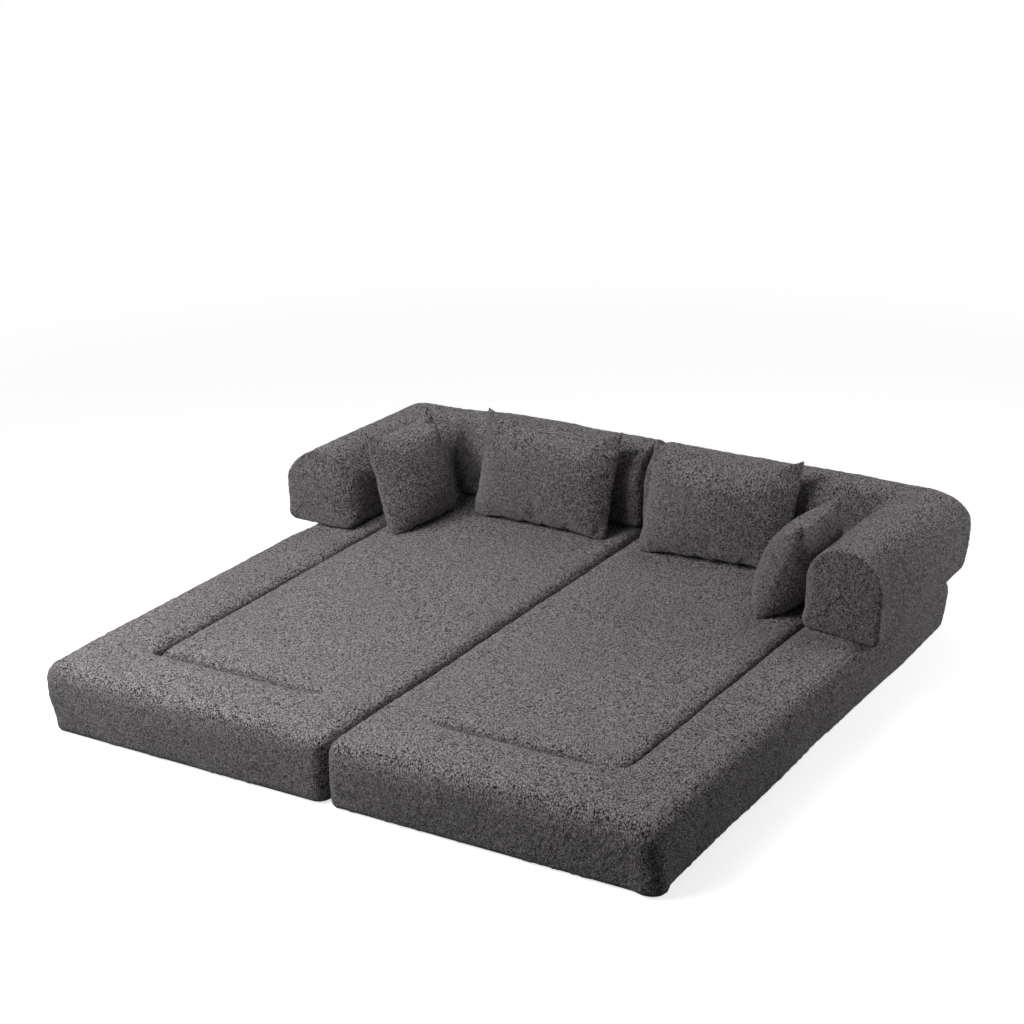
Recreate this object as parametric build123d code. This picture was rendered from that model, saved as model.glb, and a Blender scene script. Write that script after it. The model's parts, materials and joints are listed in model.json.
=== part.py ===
from build123d import *
import os

# Modular sofa bed: two mirrored floor modules, each with an L-shaped bolster and two loose pillows.
# X runs to the right, Y to the back, Z up; the origin is on the floor under the middle of the set.

# Fits and cutters
clearance = 0.3
overrun = 20
ease = 0.5

# Base of one module
module_width = 1046
module_gap = 8
base_depth = 2090
base_height = 205
base_corner_radius = 80
base_inner_corner_radius = 42
base_inner_top_radius = 36
base_top_radius = 68
base_bottom_radius = 26
cover_wall = 4
cover_lift = 1
bottom_rim = 34
bottom_corner_radius = 60
topper_height = 60

# Channel beside the seat panel and the shallow seam in front of it
border_width = 238
front_border_depth = 272
channel_slot = 4
channel_depth = 70
channel_lip_width = 48
channel_lip_drop = 14
seam_slot = 3
seam_depth = 9
seam_lip_width = 22
seam_lip_drop = 6
seam_inner_end = 166

# L-shaped bolster: an arm roll and a back roll that meet in a mitre
bolster_width = 270
bolster_height = 280
bolster_overhang = 45
bolster_top_share = 0.46
bolster_bottom_radius = 36
bolster_end_radius = 26
bolster_corner_radius = 118
arm_setback = 1377

# Hook-and-loop strips under the bolster and patches between the modules
strip_width = 40
strip_thickness = 1.5
arm_strip_length = 300
back_strip_length = 500
strip_inset = 110
patch_length = 180
patch_height = 90
patch_setback = 420
patch_level = 60

# Zips
tape_width = 16
tape_thickness = 1
coil_width = 5
coil_height = 2
slider_length = 14
slider_wall = 2
tab_length = 26
tab_width = 7
tab_thickness = 1.6
tab_hole_radius = 1.5
base_zip_length = 800
base_zip_level = 62
base_zip_start = 100
bolster_zip_length = 700
bolster_zip_level = 60
bolster_zip_start = 160

# Pillows: height and belly are common, the widths differ
pillow_height = 366
back_pillow_width = 534
arm_pillow_width = 338
pillow_front_belly = 90
pillow_back_belly = 48
pillow_edge = 5
pillow_edge_sag = 16

# Where each pillow stands: the middle of its foot from the bolster behind it, its way along
# the bolster, its turn and its lean. Ways are from the L's inner corner or the seat's middle.
left_arm_pillow_gap = 116
right_arm_pillow_gap = 157
left_arm_pillow_way = 267
right_arm_pillow_way = 316
left_back_pillow_gap = 117
right_back_pillow_gap = 137
left_back_pillow_way = 85.5
right_back_pillow_way = 74.5
left_arm_pillow_lean = 17
left_back_pillow_lean = 18.4
right_back_pillow_lean = 23
right_arm_pillow_lean = 21.5
left_arm_pillow_turn = 83
left_back_pillow_turn = 0.7
right_back_pillow_turn = 2
right_arm_pillow_turn = -90

# Shares along a pillow's height, with the belly and the half width at each level
level_shares = (0, 0.2, 0.5, 0.8, 1)
belly_shares = (0, 0.74, 1, 0.74, 0)
width_shares = (1, 0.96, 0.945, 0.96, 1)
filling_level_shares = (0.16, 0.5, 0.84)
filling_belly_shares = (0.25, 0.6, 0.25)
filling_width_share = 0.84
filling_crown_share = 0.5
zip_share = 0.45
sag_middle_share = 0.75

# Derived places
zip_stand = tape_thickness + coil_height + clearance + slider_wall + tab_thickness
overall_depth = base_depth + bolster_overhang + zip_stand
front_y = -overall_depth / 2
rear_y = front_y + base_depth
inner_x = module_gap / 2
outer_x = inner_x + module_width
channel_x = outer_x - border_width
seam_y = front_y + front_border_depth
bolster_bottom = base_height + 2 * strip_thickness + clearance
bolster_top = bolster_bottom + bolster_height
bolster_outer_x = outer_x + bolster_overhang
bolster_inner_x = bolster_outer_x - bolster_width
bolster_top_radius = bolster_width * bolster_top_share
bolster_rear_y = rear_y + bolster_overhang
bolster_inner_y = bolster_rear_y - bolster_width
seat_middle_x = (inner_x + bolster_inner_x) / 2
arm_front_y = front_y + arm_setback
cloth_top = cover_lift + cover_wall
reach = module_width + base_depth


def rounded_face(u0, u1, v0, v1, radii):
    corners = [(u0, v0), (u1, v0), (u1, v1), (u0, v1)]
    return make_face(FilletPolyline(*corners, radius=radii, close=True))


def box_between(x0, x1, y0, y1, z0, z1):
    return Pos((x0 + x1) / 2, (y0 + y1) / 2, (z0 + z1) / 2) * Box(x1 - x0, y1 - y0, z1 - z0)


# The padded block of one base, as the common part of its three rounded outlines.
# An inset gives the same form with every face moved inwards. The outlines stand off
# each other by the ease, so that no two roundings meet where both are tangent.
def base_form(inset):
    left, right = inner_x + inset, outer_x - inset
    near, far = front_y + inset, rear_y - inset
    low, high = cover_lift + inset, base_height - inset
    bottom = base_bottom_radius - inset
    top = base_top_radius - inset
    inner_top = base_inner_top_radius - inset
    inner_corner = base_inner_corner_radius - inset
    corner = base_corner_radius - inset
    across = rounded_face(left, right, low, high, [bottom, bottom, top, inner_top])
    along = rounded_face(near, far, low - ease, high + ease, [bottom, bottom, top, top])
    corners = [inner_corner, corner, corner, inner_corner]
    plan = rounded_face(left - ease, right + ease, near - ease, far + ease, corners)
    upright = extrude(plan, amount=reach, both=True)
    crosswise = extrude(Plane.YZ * along, amount=reach, both=True)
    lengthwise = extrude(Plane.XZ * across, amount=reach, both=True)
    return upright & crosswise & lengthwise


# Section of a tuck: a slot whose two lips roll in as quarter ellipses.
def tuck_face(slot, depth, lip_width, lip_drop, grow):
    half = slot / 2 + lip_width
    mouth = Pos(0, (overrun - lip_drop) / 2) * Rectangle(2 * half, overrun + lip_drop)
    lip = Ellipse(lip_width - grow, lip_drop - grow)
    mouth -= Pos(half, -lip_drop) * lip
    mouth -= Pos(-half, -lip_drop) * lip
    slit_depth = depth + grow
    slit = Pos(0, (overrun - slit_depth) / 2) * Rectangle(slot + 2 * grow, slit_depth + overrun)
    return mouth + slit


def side_channel(grow):
    face = tuck_face(channel_slot, channel_depth, channel_lip_width, channel_lip_drop, grow)
    face = Plane.XZ * face
    run = Pos(channel_x, seam_y, base_height) * extrude(face, amount=-(base_depth - front_border_depth) - overrun)
    half = face & Plane.XZ * Pos(reach / 2, 0) * Rectangle(reach, reach)
    return run + Pos(channel_x, seam_y, base_height) * revolve(half, Axis.Z)


# The front seam is deepest at the channel and fades out before the middle of the set.
def front_seam(grow):
    face = tuck_face(seam_slot, seam_depth, seam_lip_width, seam_lip_drop, grow)
    length = channel_x - seam_inner_end
    run = extrude(Plane.YZ * face, amount=-length)
    fade = Vector(length, 0, 0).get_angle(Vector(length, 0, seam_depth))
    return Pos(channel_x, seam_y, base_height) * Rot(0, fade, 0) * run


# Walls of cloth sewn down below the channel and the seam keep the foam blocks apart.
def partitions(grow):
    half = channel_slot / 2 + grow
    side = box_between(channel_x - half, channel_x + half, seam_y - half, rear_y, 0, base_height)
    front = box_between(inner_x, channel_x + half, seam_y - half, seam_y + half, 0, base_height)
    return side + front


def base_pockets(inset):
    return base_form(inset) - side_channel(inset) - front_seam(inset) - partitions(inset)


def bottom_outline(grow):
    rim = bottom_rim - grow
    radii = [bottom_corner_radius + grow] * 4
    return rounded_face(inner_x + rim, outer_x - rim, front_y + rim, rear_y - rim, radii)


def base_cover():
    opening = extrude(bottom_outline(clearance), amount=cloth_top)
    return base_form(0) - side_channel(0) - front_seam(0) - base_pockets(cover_wall) - opening


def bottom_cloth():
    return extrude(bottom_outline(0), amount=cloth_top)


def base_foams():
    blocks = base_pockets(cover_wall + clearance)
    seat = blocks & box_between(0, channel_x, seam_y, rear_y, 0, base_height)
    border = blocks - box_between(0, channel_x, seam_y, rear_y, 0, base_height)
    split = base_height - cover_wall - topper_height
    core = seat & box_between(0, channel_x, seam_y, rear_y, 0, split)
    topper = seat & box_between(0, channel_x, seam_y, rear_y, split, base_height)
    front = border & box_between(0, reach, front_y, seam_y, 0, base_height)
    side = border & box_between(0, reach, seam_y, rear_y, 0, base_height)
    return core, topper, side, front


def bolster_section(inset):
    top = bolster_top_radius - inset
    bottom = bolster_bottom_radius - inset
    left = bolster_inner_x + inset
    right = bolster_outer_x - inset
    return rounded_face(left, right, bolster_bottom + inset, bolster_top - inset, [bottom, bottom, top, top])


# Prism on the arm's side of the mitre, which runs from the inner to the outer corner of the L.
def mitre_side():
    far = (bolster_outer_x - reach, bolster_rear_y - reach)
    beyond = (bolster_outer_x + reach, bolster_rear_y + reach)
    apex = (bolster_outer_x + reach, bolster_rear_y - reach)
    return extrude(make_face(Polyline(far, beyond, apex, close=True)), amount=reach)


def corner_prism(inset):
    radius = bolster_corner_radius - inset
    far_x = bolster_outer_x - reach
    far_y = bolster_rear_y - reach
    right = bolster_outer_x - inset + ease
    rear = bolster_rear_y - inset + ease
    outline = rounded_face(far_x, right, far_y, rear, [radius] * 4)
    return extrude(outline, amount=reach)


# A roll runs along Y from its rounded front end to the mitre at the outer corner.
def roll(length, inset):
    face = Plane.XZ * bolster_section(inset)
    bar = Pos(0, bolster_rear_y, 0) * extrude(face, amount=length - inset)
    end = bar.faces().sort_by(Axis.Y)[0]
    bar = fillet(end.edges(), bolster_end_radius - inset)
    return bar & mitre_side() & corner_prism(inset)


def arm_roll(inset):
    return roll(bolster_rear_y - arm_front_y, inset)


# The back roll is the same form, longer, and mirrored in the mitre.
def back_roll(inset):
    mitre = Plane(origin=(bolster_outer_x, bolster_rear_y, 0), x_dir=(1, 1, 0), z_dir=(1, -1, 0))
    return mirror(roll(bolster_outer_x - inner_x, inset), about=mitre)


def bolster_cover():
    return arm_roll(0) + back_roll(0) - (arm_roll(cover_wall) + back_roll(cover_wall))


def grip_strips(level):
    top = level + strip_thickness
    arm_x = (bolster_inner_x + bolster_outer_x - bolster_overhang) / 2
    arm_y = arm_front_y + strip_inset
    back_y = rear_y - strip_inset
    back_x = inner_x + strip_inset
    half = strip_width / 2
    arm = box_between(arm_x - half, arm_x + half, arm_y, arm_y + arm_strip_length, level, top)
    back = box_between(back_x, back_x + back_strip_length, back_y - half, back_y + half, level, top)
    return [arm, back]


def join_patches():
    thickness = (module_gap - clearance) / 2
    places = (front_y + patch_setback, rear_y - patch_setback - patch_length)
    return [
        box_between(inner_x - thickness, inner_x, y, y + patch_length, patch_level, patch_level + patch_height)
        for y in places
    ]


# A zip lies along X with its coil towards +Z, starting at the origin.
def zip_strip(length):
    tape = box_between(0, length, -tape_width / 2, tape_width / 2, 0, tape_thickness)
    coil = box_between(0, length, -coil_width / 2, coil_width / 2, tape_thickness, tape_thickness + coil_height)
    return tape + coil


# The slider straddles the coil. Its tab lies flat on it, turned from -Y about the slider's middle.
def zip_slider(tab_turn):
    low = tape_thickness + clearance
    roof = tape_thickness + coil_height + clearance
    top = roof + slider_wall
    channel = coil_width / 2 + clearance
    side = channel + slider_wall
    body = box_between(0, slider_length, -side, side, low, top)
    body -= box_between(-overrun, slider_length + overrun, -channel, channel, 0, roof)
    half = tab_width / 2
    outline = rounded_face(-half, half, -tab_length, half, [half / 2] * 4)
    tab = extrude(outline, amount=tab_thickness)
    tab -= Pos(0, tab_width - tab_length, 0) * Cylinder(tab_hole_radius, overrun)
    return body + Pos(slider_length / 2, 0, top) * Rot(0, 0, tab_turn) * tab


def rear_zip(start, length, rear, level):
    place = Plane(origin=(start + length, rear, level), x_dir=(-1, 0, 0), z_dir=(0, 1, 0))
    return place.location * zip_strip(length), place.location * zip_slider(0)


# One level of a pillow: two flat arcs joined by short edges, in a plane across its height.
def pillow_level(width, share, belly_share, width_share):
    half = width / 2 * width_share
    edge = pillow_edge / 2
    front = edge + pillow_front_belly * belly_share + edge * (1 - belly_share)
    back = edge + pillow_back_belly * belly_share + edge * (1 - belly_share)
    lines = [
        ThreePointArc((-half, edge), (0, back), (half, edge)),
        Line((half, edge), (half, -edge)),
        ThreePointArc((half, -edge), (0, -front), (-half, -edge)),
        Line((-half, -edge), (-half, edge)),
    ]
    level = Plane(origin=(0, pillow_height * share, 0), x_dir=(1, 0, 0), z_dir=(0, 1, 0))
    return level * make_face(lines)


# The drawn-in foot edge: straight along the zip, then curved down to the corner points.
def edge_cutter(width):
    half = width / 2
    flat = half * zip_share
    middle = (half + flat) / 2
    sag = pillow_edge_sag
    lines = [
        Line((-half, -overrun), (-half, 0)),
        ThreePointArc((-half, 0), (-middle, sag * sag_middle_share), (-flat, sag)),
        Line((-flat, sag), (flat, sag)),
        ThreePointArc((flat, sag), (middle, sag * sag_middle_share), (half, 0)),
        Line((half, 0), (half, -overrun)),
        Line((half, -overrun), (-half, -overrun)),
    ]
    return extrude(make_face(lines), amount=pillow_height, both=True)


def pillow_form(width):
    levels = zip(level_shares, belly_shares, width_shares)
    body = loft([pillow_level(width, *shares) for shares in levels])
    foot = edge_cutter(width)
    head = Pos(0, pillow_height, 0) * Rot(180, 0, 0) * foot
    return body - foot - head


# The filling is a plain lens-shaped block inside the cover.
def pillow_filling(width, inset):
    half = width / 2 * filling_width_share - inset
    crown = half * filling_crown_share
    faces = []
    for share, belly_share in zip(filling_level_shares, filling_belly_shares):
        front = pillow_front_belly * belly_share - inset
        back = pillow_back_belly * belly_share - inset
        points = [(-half, 0), (-crown, -front), (crown, -front), (half, 0), (crown, back), (-crown, back)]
        shift = inset if share < 1 / 2 else -inset if share > 1 / 2 else 0
        level = Plane(origin=(0, pillow_height * share + shift, 0), x_dir=(1, 0, 0), z_dir=(0, 1, 0))
        faces.append(level * make_face(Polyline(*points, close=True)))
    return loft(faces, ruled=True)


def pillow_parts(width):
    cover = pillow_form(width) - pillow_filling(width, 0)
    filling = pillow_filling(width, clearance)
    length = width * zip_share
    place = Plane(origin=(-length / 2, pillow_edge_sag, 0), x_dir=(1, 0, 0), z_dir=(0, -1, 0))
    return cover, filling, place.location * zip_strip(length), place.location * zip_slider(90)


# A pillow is turned and leant back, then set down on its lowest corner.
def standing_place(cover, x, y, turn, lean):
    tilt = Rot(0, 0, turn) * Rot(90 - lean, 0, 0)
    lowest = (tilt * cover).bounding_box().min.Z
    return Pos(x, y, base_height + clearance - lowest) * tilt


nodes = {}
core, topper, side_foam, front_foam = base_foams()
base_zip, base_slider = rear_zip(base_zip_start, base_zip_length, rear_y, base_zip_level)
bolster_zip, bolster_slider = rear_zip(
    bolster_zip_start, bolster_zip_length, bolster_rear_y, bolster_bottom + bolster_zip_level
)
module_parts = {
    "base_cover": base_cover(),
    "bottom_cloth": bottom_cloth(),
    "seat_core": core,
    "seat_topper": topper,
    "side_border_foam": side_foam,
    "front_border_foam": front_foam,
    "base_zip": base_zip,
    "base_zip_slider": base_slider,
    "base_loop_strips": Compound(children=grip_strips(base_height)),
    "bolster_hook_strips": Compound(children=grip_strips(base_height + strip_thickness + clearance)),
    "bolster_cover": bolster_cover(),
    "arm_foam": arm_roll(cover_wall + clearance),
    "back_foam": back_roll(cover_wall + clearance),
    "bolster_zip": bolster_zip,
    "bolster_zip_slider": bolster_slider,
    "join_patches": Compound(children=join_patches()),
}
for name, solid in module_parts.items():
    nodes["right_" + name] = solid
    nodes["left_" + name] = mirror(solid, about=Plane.YZ)

pillows = {
    "left_arm": (
        arm_pillow_width, left_arm_pillow_gap - bolster_inner_x, bolster_inner_y - left_arm_pillow_way,
        left_arm_pillow_turn, left_arm_pillow_lean
    ),
    "left_back": (
        back_pillow_width, left_back_pillow_way - seat_middle_x, bolster_inner_y - left_back_pillow_gap,
        left_back_pillow_turn, left_back_pillow_lean
    ),
    "right_back": (
        back_pillow_width, seat_middle_x - right_back_pillow_way, bolster_inner_y - right_back_pillow_gap,
        right_back_pillow_turn, right_back_pillow_lean
    ),
    "right_arm": (
        arm_pillow_width, bolster_inner_x - right_arm_pillow_gap, bolster_inner_y - right_arm_pillow_way,
        right_arm_pillow_turn, right_arm_pillow_lean
    ),
}
for name, (width, x, y, turn, lean) in pillows.items():
    pieces = pillow_parts(width)
    place = standing_place(pieces[0], x, y, turn, lean)
    for piece, solid in zip(("cover", "filling", "zip", "zip_slider"), pieces):
        nodes[name + "_pillow_" + piece] = place * solid

os.makedirs("parts", exist_ok=True)
for name, solid in nodes.items():
    export_step(solid, "parts/" + name + ".step")
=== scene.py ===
import json
import math

import bmesh
import bpy
import numpy as np
from mathutils import Matrix, Vector

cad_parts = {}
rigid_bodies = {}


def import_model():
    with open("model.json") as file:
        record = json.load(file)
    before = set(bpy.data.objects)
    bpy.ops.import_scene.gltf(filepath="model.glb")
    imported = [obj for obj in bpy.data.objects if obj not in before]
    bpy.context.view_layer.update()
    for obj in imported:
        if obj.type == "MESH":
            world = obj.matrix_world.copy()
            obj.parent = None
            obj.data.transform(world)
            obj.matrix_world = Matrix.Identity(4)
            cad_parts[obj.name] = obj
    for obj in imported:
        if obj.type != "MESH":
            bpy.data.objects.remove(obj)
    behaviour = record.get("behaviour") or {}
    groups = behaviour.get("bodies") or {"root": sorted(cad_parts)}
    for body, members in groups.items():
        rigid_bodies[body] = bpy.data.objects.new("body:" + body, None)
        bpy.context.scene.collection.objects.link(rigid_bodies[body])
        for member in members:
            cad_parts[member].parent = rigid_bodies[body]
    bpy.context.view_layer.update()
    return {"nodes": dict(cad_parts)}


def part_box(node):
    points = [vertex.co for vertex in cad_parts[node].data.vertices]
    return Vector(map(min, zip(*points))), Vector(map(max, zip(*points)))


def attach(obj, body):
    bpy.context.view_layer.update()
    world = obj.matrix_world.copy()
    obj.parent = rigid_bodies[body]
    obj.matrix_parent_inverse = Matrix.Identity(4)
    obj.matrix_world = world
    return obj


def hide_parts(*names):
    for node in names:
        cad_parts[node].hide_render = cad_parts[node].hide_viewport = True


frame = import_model()
print("frame loaded:", len(frame["nodes"]), "nodes")

sides = {"right": 1, "left": -1}


# Camera

cameraView = {
    "place": (3.6808, -6.0063, 3.1986),  # metres
    "yaw": 31.65,  # degrees, from +Y towards -X
    "pitch": 20.68,  # degrees below the horizon
    "roll": -0.975,
    "lens": 85.3,
    "sensor": 36.0,
}


def addCamera(v):
    yaw, pitch, roll = (math.radians(v[k]) for k in ("yaw", "pitch", "roll"))
    ahead = Vector((-math.sin(yaw) * math.cos(pitch), math.cos(yaw) * math.cos(pitch), -math.sin(pitch)))
    right = Vector((math.cos(yaw), math.sin(yaw), 0))
    up = right.cross(ahead)
    across = math.cos(roll) * right + math.sin(roll) * up
    above = math.cos(roll) * up - math.sin(roll) * right
    data = bpy.data.cameras.new("photoCamera")
    data.lens, data.sensor_width, data.sensor_fit = v["lens"], v["sensor"], "HORIZONTAL"
    data.clip_end = 60
    camera = bpy.data.objects.new("photoCamera", data)
    turn = Matrix((across, above, -ahead)).transposed().to_4x4()
    camera.matrix_world = Matrix.Translation(v["place"]) @ turn
    bpy.context.scene.collection.objects.link(camera)
    bpy.context.scene.camera = camera


addCamera(cameraView)
print("camera placed")


# Shader wiring

class Wire:  # one output in a material's node tree; + - * and ** on it add Math nodes

    def __init__(self, tree, socket=None):
        self.tree, self.socket = tree, socket

    def node(self, kind, settings=None, inputs=None, output=0):
        made = self.tree.nodes.new(kind)
        for key, value in (settings or {}).items():
            setattr(made, key, value)
        for key, value in (inputs or {}).items():
            if isinstance(value, Wire):
                self.tree.links.new(value.socket, made.inputs[key])
            else:
                made.inputs[key].default_value = value
        return Wire(self.tree, made.outputs[output])

    def math(self, operation, first, second):
        return self.node("ShaderNodeMath", {"operation": operation}, {0: first, 1: second})

    def __add__(self, other): return self.math("ADD", self, other)
    def __sub__(self, other): return self.math("SUBTRACT", self, other)
    def __rsub__(self, other): return self.math("SUBTRACT", other, self)
    def __mul__(self, other): return self.math("MULTIPLY", self, other)
    def __pow__(self, other): return self.math("POWER", self, other)

    def within(self, low, high):  # 0 at low and 1 at high, held level beyond them
        inputs = {"Value": self, "From Min": low, "From Max": high}
        return self.node("ShaderNodeMapRange", {"clamp": True}, inputs)


def startMaterial(name):
    material = bpy.data.materials.new(name)
    material.use_nodes = True
    tree = material.node_tree
    surface = tree.nodes["Principled BSDF"]
    return material, Wire(tree), surface


def feed(wire, surface, key):
    wire.tree.links.new(wire.socket, surface.inputs[key])


# Finishes

teddyCloth = {
    "dark": (0.008, 0.0075, 0.008, 1),
    "light": (0.62, 0.57, 0.60, 1),
    "curl": (560, 0.9),  # per metre, and how much the noise is bent
    "fleck": (360, 0.6),
    "clump": (95, 0.4),
    "brushed": 3.2,
    "lie": (1, 0.5, 0.55),  # curls are longer along the seat and up the walls than across
    "fineBand": (0.34, 0.66),  # the part of the noise that is stretched to the whole range
    "slowBand": (0.3, 0.7),
    "fineShare": 0.93,  # of curl and fleck together, and the rest is clump
    "fleckShare": 0.30,
    "topFleckShare": 0.45,  # added on the tops
    "contrast": 1.3,
    "topGrainAndShade": 3.0,  # stronger grain on the tops, where the flattened pile parts more; the added contrast paints the light and shade of the curls there
    "topBand": (0.55, 0.95),  # upward part of the normal
    # painted light: the next two make surfaces that face straight up paler, standing in for the light that falls on
    # the tops
    "paintedTopBand": (0.86, 1.0),
    "paintedTopLight": 0.94,
    "toneBand": (0.22, 0.85),
    "toneCurve": 1.5,
    "patchLevel": 0.88,
    "patchChange": 0.2,
    "height": 0.004,
    "sheen": 0.32,
}


def makeTeddy(v):
    # Curly pile: bent noise for the yarn ends, darker where they part, which is partly the yarn's own mottling and
    # partly painted shade in the gaps, with slow brushed patches
    material, wire, surface = startMaterial("teddyCloth")
    place = wire.node("ShaderNodeTexCoord", output="Object")
    tall = wire.node("ShaderNodeMapping", None, {"Vector": place, "Scale": v["lie"]})
    curl, fleck, clump = (
        wire.node("ShaderNodeTexNoise", None, {
            "Vector": tall, "Scale": size, "Detail": 1.0, "Roughness": 0.5, "Distortion": bend})
        for size, bend in (v["curl"], v["fleck"], v["clump"]))
    brushed = wire.node("ShaderNodeTexNoise", None, {
        "Vector": place, "Scale": v["brushed"], "Detail": 2.0, "Roughness": 0.55})
    facing = wire.node("ShaderNodeTexCoord", output="Normal")
    up = wire.node("ShaderNodeSeparateXYZ", None, {0: facing}, output="Z")
    onTop = up.within(*v["topBand"])
    fleckShare = onTop * v["topFleckShare"] + v["fleckShare"]
    fine = curl.within(*v["fineBand"]) * (v["fineShare"] - fleckShare) + fleck.within(*v["fineBand"]) * fleckShare
    height = fine + clump.within(*v["slowBand"]) * (1 - v["fineShare"])
    # painted shade: the low parts of the pile go darker, standing for the shade in the gaps between the curls, more
    # so on the tops
    grainAndGapShade = (height - 0.5) * (onTop * v["topGrainAndShade"] + v["contrast"]) + 0.5
    patches = brushed.within(*v["slowBand"]) * v["patchChange"] + v["patchLevel"]
    # painted light: the tone is lifted where the normal points up, as though lit from above
    paintedTopLift = up.within(*v["paintedTopBand"]) * v["paintedTopLight"] + 1
    tone = grainAndGapShade.within(*v["toneBand"]) ** v["toneCurve"] * (patches * paintedTopLift)
    cloth = wire.node("ShaderNodeMix", {"data_type": "RGBA"}, {
        0: tone, 6: v["dark"], 7: v["light"]}, output=2)
    feed(cloth, surface, "Base Color")
    bump = wire.node("ShaderNodeBump", None, {
        "Strength": 0.8, "Distance": v["height"], "Height": height})
    feed(bump, surface, "Normal")
    surface.inputs["Roughness"].default_value = 0.96
    surface.inputs["Specular IOR Level"].default_value = 0.15
    surface.inputs["Sheen Weight"].default_value = v["sheen"]
    surface.inputs["Sheen Roughness"].default_value = 0.35
    return material


gripCloth = {"ground": (0.018, 0.018, 0.02, 1), "dots": (0.07, 0.07, 0.075, 1), "spacing": 140}


def makeGripCloth(v):
    # Woven ground with raised rubber dots, for the anti-slip bottom
    material, wire, surface = startMaterial("gripCloth")
    place = wire.node("ShaderNodeTexCoord", output="Object")
    dots = wire.node("ShaderNodeTexVoronoi", None, {
        "Vector": place, "Scale": v["spacing"], "Randomness": 0.05}, output="Distance")
    dot = 1 - dots.within(0.2, 0.3)
    threads = wire.node("ShaderNodeTexNoise", None, {"Vector": place, "Scale": 900, "Detail": 2.0})
    colour = wire.node("ShaderNodeMix", {"data_type": "RGBA"}, {
        0: dot * 0.8 + threads * 0.2, 6: v["ground"], 7: v["dots"]}, output=2)
    feed(colour, surface, "Base Color")
    bump = wire.node("ShaderNodeBump", None, {
        "Strength": 0.6, "Distance": 0.0008, "Height": dot + threads * 0.2})
    feed(bump, surface, "Normal")
    feed(threads * 0.2 + 0.65, surface, "Roughness")
    return material


tapeCloth = {"low": (0.03, 0.029, 0.031, 1), "high": (0.075, 0.073, 0.076, 1), "ribs": 900}


def makeTape(v):
    # Fine ribs of a woven zip tape, broken up by thread noise
    material, wire, surface = startMaterial("zipTape")
    place = wire.node("ShaderNodeTexCoord", output="Object")
    ribs = wire.node("ShaderNodeTexWave", {"bands_direction": "DIAGONAL"}, {
        "Vector": place, "Scale": v["ribs"], "Distortion": 1.0, "Detail": 1.0})
    fuzz = wire.node("ShaderNodeTexNoise", None, {"Vector": place, "Scale": 700, "Detail": 2.0})
    colour = wire.node("ShaderNodeMix", {"data_type": "RGBA"}, {
        0: ribs * 0.5 + fuzz * 0.5, 6: v["low"], 7: v["high"]}, output=2)
    feed(colour, surface, "Base Color")
    bump = wire.node("ShaderNodeBump", None, {"Strength": 0.5, "Distance": 0.0004, "Height": ribs + fuzz})
    feed(bump, surface, "Normal")
    surface.inputs["Roughness"].default_value = 0.8
    return material


gripHooks = {"low": (0.012, 0.012, 0.013, 1), "high": (0.06, 0.06, 0.063, 1), "loops": 520}


def makeHooks(v):
    # Dense little loops of hook-and-loop strip
    material, wire, surface = startMaterial("hookAndLoop")
    place = wire.node("ShaderNodeTexCoord", output="Object")
    loops = wire.node("ShaderNodeTexVoronoi", None, {"Vector": place, "Scale": v["loops"]}, output="Distance")
    fuzz = wire.node("ShaderNodeTexNoise", None, {"Vector": place, "Scale": 260, "Detail": 3.0, "Distortion": 1.5})
    colour = wire.node("ShaderNodeMix", {"data_type": "RGBA"}, {
        0: loops.within(0.1, 0.7) * 0.6 + fuzz * 0.4, 6: v["low"], 7: v["high"]}, output=2)
    feed(colour, surface, "Base Color")
    bump = wire.node("ShaderNodeBump", None, {"Strength": 0.8, "Distance": 0.0008, "Height": loops + fuzz})
    feed(bump, surface, "Normal")
    surface.inputs["Roughness"].default_value = 0.9
    return material


sliderMetal = {"clean": (0.07, 0.07, 0.074, 1), "worn": (0.11, 0.108, 0.105, 1)}


def makeSliderMetal(v):
    # Blackened cast metal with rubbed patches
    material, wire, surface = startMaterial("zipMetal")
    place = wire.node("ShaderNodeTexCoord", output="Object")
    rub = wire.node("ShaderNodeTexNoise", None, {"Vector": place, "Scale": 240, "Detail": 3.0})
    wear = rub.within(0.4, 0.65)
    colour = wire.node("ShaderNodeMix", {"data_type": "RGBA"}, {0: wear, 6: v["clean"], 7: v["worn"]}, output=2)
    feed(colour, surface, "Base Color")
    feed(wear * 0.25 + 0.3, surface, "Roughness")
    grain = wire.node("ShaderNodeTexNoise", None, {"Vector": place, "Scale": 1400, "Detail": 1.0})
    bump = wire.node("ShaderNodeBump", None, {"Strength": 0.15, "Distance": 0.0002, "Height": grain})
    feed(bump, surface, "Normal")
    surface.inputs["Metallic"].default_value = 1.0
    return material


finishes = {
    "teddy": makeTeddy(teddyCloth),
    "grip": makeGripCloth(gripCloth),
    "tape": makeTape(tapeCloth),
    "hooks": makeHooks(gripHooks),
    "metal": makeSliderMetal(sliderMetal),
}
print("finishes made")


# Numbers and meshes

def smooth(value):
    # Smoothstep: 0 below 0, 1 above 1, level at both ends
    t = np.clip(value, 0, 1)
    return t * t * (3 - 2 * t)


def latticeNoise(points, cell, seed):
    # Random heights from -1 to 1 on a cubic lattice, blended between its corners by smoothstep weights
    count, offset = 48, 500.5  # the offset keeps every place positive
    heights = np.random.default_rng(seed).uniform(-1, 1, (count, count, count))
    spot = points / cell + offset
    corner = np.floor(spot).astype(int)
    weight = smooth(spot - corner)
    total = np.zeros(len(points))
    for a in (0, 1):
        for b in (0, 1):
            for c in (0, 1):
                part = np.where([a, b, c], weight, 1 - weight).prod(axis=1)
                i, j, k = ((corner + (a, b, c)) % count).T
                total += part * heights[i, j, k]
    return total


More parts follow.
